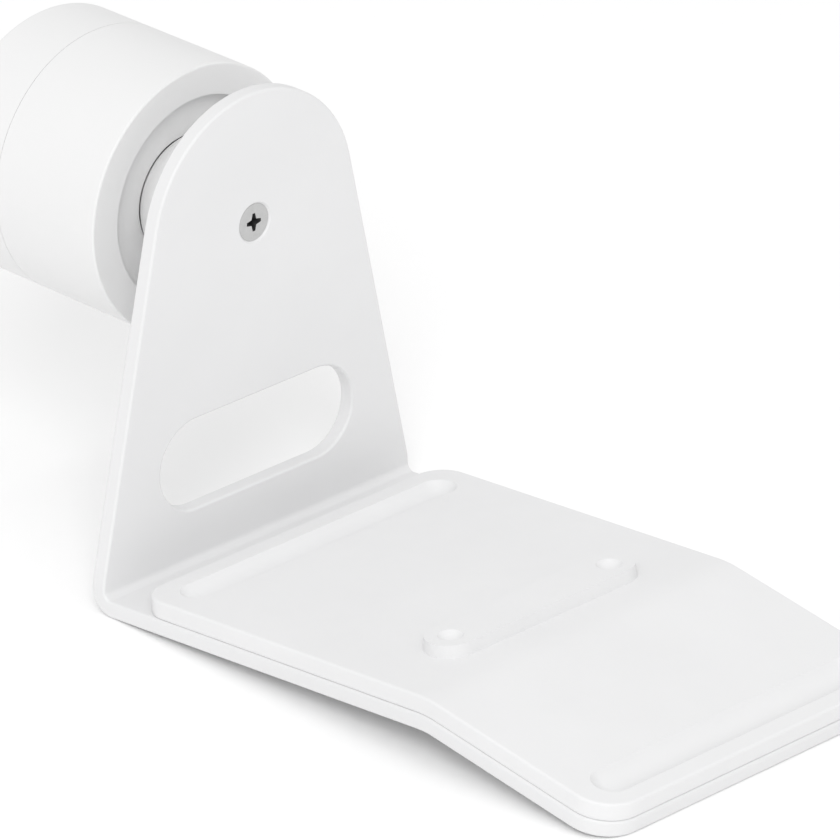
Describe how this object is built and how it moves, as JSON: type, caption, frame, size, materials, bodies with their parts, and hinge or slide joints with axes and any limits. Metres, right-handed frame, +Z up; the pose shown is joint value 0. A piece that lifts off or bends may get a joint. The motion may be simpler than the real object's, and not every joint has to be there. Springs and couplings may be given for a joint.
{
  "type": "baby monitor camera",
  "caption": "Drum-shaped monitor camera on a magnetic dome, held by one screw on a bent steel bracket with a padded arched foot.",
  "frame": {"origin": "on the resting plane, midway across the bracket and midway between the camera's front and the foot's toe", "axes": "+Y from the camera towards the toe of the foot, +Z up, +X across the bracket; the lens looks along -Y"},
  "size_m": [0.078, 0.1834, 0.0922],
  "materials": {
    "white_powder_coat": "fine matt powder coat on bent steel sheet",
    "white_lacquer": "satin white lacquer on turned steel",
    "white_silicone": "matt moulded silicone rubber",
    "adhesive_sheet": "thin double-sided adhesive",
    "zinc_steel": "zinc-plated steel",
    "white_acetal": "natural acetal",
    "nickel_magnet": "nickel-plated magnet",
    "white_shell": "finely textured moulded plastic",
    "black_rubber": "matt rubber or foam",
    "smoked_acrylic": "polished dark acrylic",
    "green_board": "solder mask over glass laminate",
    "black_epoxy": "moulded epoxy package",
    "grey_thermal_gel": "soft thermal pad",
    "anodised_aluminium": "satin anodised",
    "grey_button": "fine matt moulded plastic",
    "gold_film": "copper and polyimide film",
    "brass_spacer": "turned brass",
    "sensor_glass": "sensor cover glass",
    "black_resin": "glass-filled black resin",
    "red_filter_glass": "infrared-cut coated glass",
    "clear_glass": "clear polished glass",
    "coated_lens_glass": "coated lens glass",
    "led_epoxy": "clear lamp epoxy"
  },
  "bodies": {
    "stand": {"bracket": "white_powder_coat", "grip_pad": "white_silicone", "pad_adhesive": "adhesive_sheet", "dome_mount": "white_lacquer", "dome_screw": "zinc_steel", "dome_dowels": "zinc_steel"},
    "slip": {"glide_disc": "white_acetal"},
    "seat": {"ball_seat": "white_acetal", "ring_magnet": "nickel_magnet", "magnet_pot": "zinc_steel"},
    "camera": {"pot_retainer": "zinc_steel", "retainer_screws": "zinc_steel", "rear_housing": "white_shell", "front_shell": "white_shell", "case_seal": "black_rubber", "case_screws": "zinc_steel", "front_window": "smoked_acrylic", "window_gasket": "black_rubber", "main_board": "green_board", "board_screws": "zinc_steel", "processor": "black_epoxy", "thermal_pad": "grey_thermal_gel", "heat_sink": "anodised_aluminium", "memory_chip": "black_epoxy", "wifi_module": "zinc_steel", "capacitors": "anodised_aluminium", "board_header": "black_epoxy", "usb_socket": "zinc_steel", "button_switch": "black_epoxy", "antenna": "gold_film", "speaker": "black_epoxy", "speaker_gasket": "black_rubber", "lower_standoffs": "brass_spacer", "sensor_board": "green_board", "image_sensor": "sensor_glass", "lens_holder": "black_resin", "shutter_coil": "gold_film", "lens_barrel": "black_resin", "front_lens": "coated_lens_glass", "rear_lens": "clear_glass", "light_baffle": "black_rubber", "upper_standoffs": "brass_spacer", "led_board": "green_board", "led_ribbon": "gold_film", "ir_leds": "led_epoxy", "light_sensor": "led_epoxy", "microphone": "zinc_steel", "status_led": "led_epoxy", "stack_screws": "zinc_steel"},
    "shutter": {"filter_frame": "black_resin", "ir_cut_glass": "red_filter_glass", "clear_glass": "clear_glass"},
    "button": {"pair_button": "grey_button"}
  },
  "joints": [
    {"name": "pan", "type": "hinge", "parent": "stand", "child": "slip", "pos_m": [0, -0.04517, 0.0662], "axis": [0, 0, 1], "range_deg": [-17, 17]},
    {"name": "tilt", "type": "hinge", "parent": "slip", "child": "seat", "pos_m": [0, -0.04517, 0.0662], "axis": [1, 0, 0], "range_deg": [-17, 17]},
    {"name": "roll", "type": "hinge", "parent": "seat", "child": "camera", "pos_m": [0, -0.04517, 0.0662], "axis": [0, -1, 0], "range_deg": [-90, 90]},
    {"name": "shutter_slide", "type": "slide", "parent": "camera", "child": "shutter", "axis": [1, 0, 0], "range_m": [-0.0068, 0]},
    {"name": "button_press", "type": "slide", "parent": "camera", "child": "button", "axis": [1, 0, 0], "range_m": [0, 0.0004], "stiffness_N_per_m": 900, "springref_m": -0.0006}
  ]
}
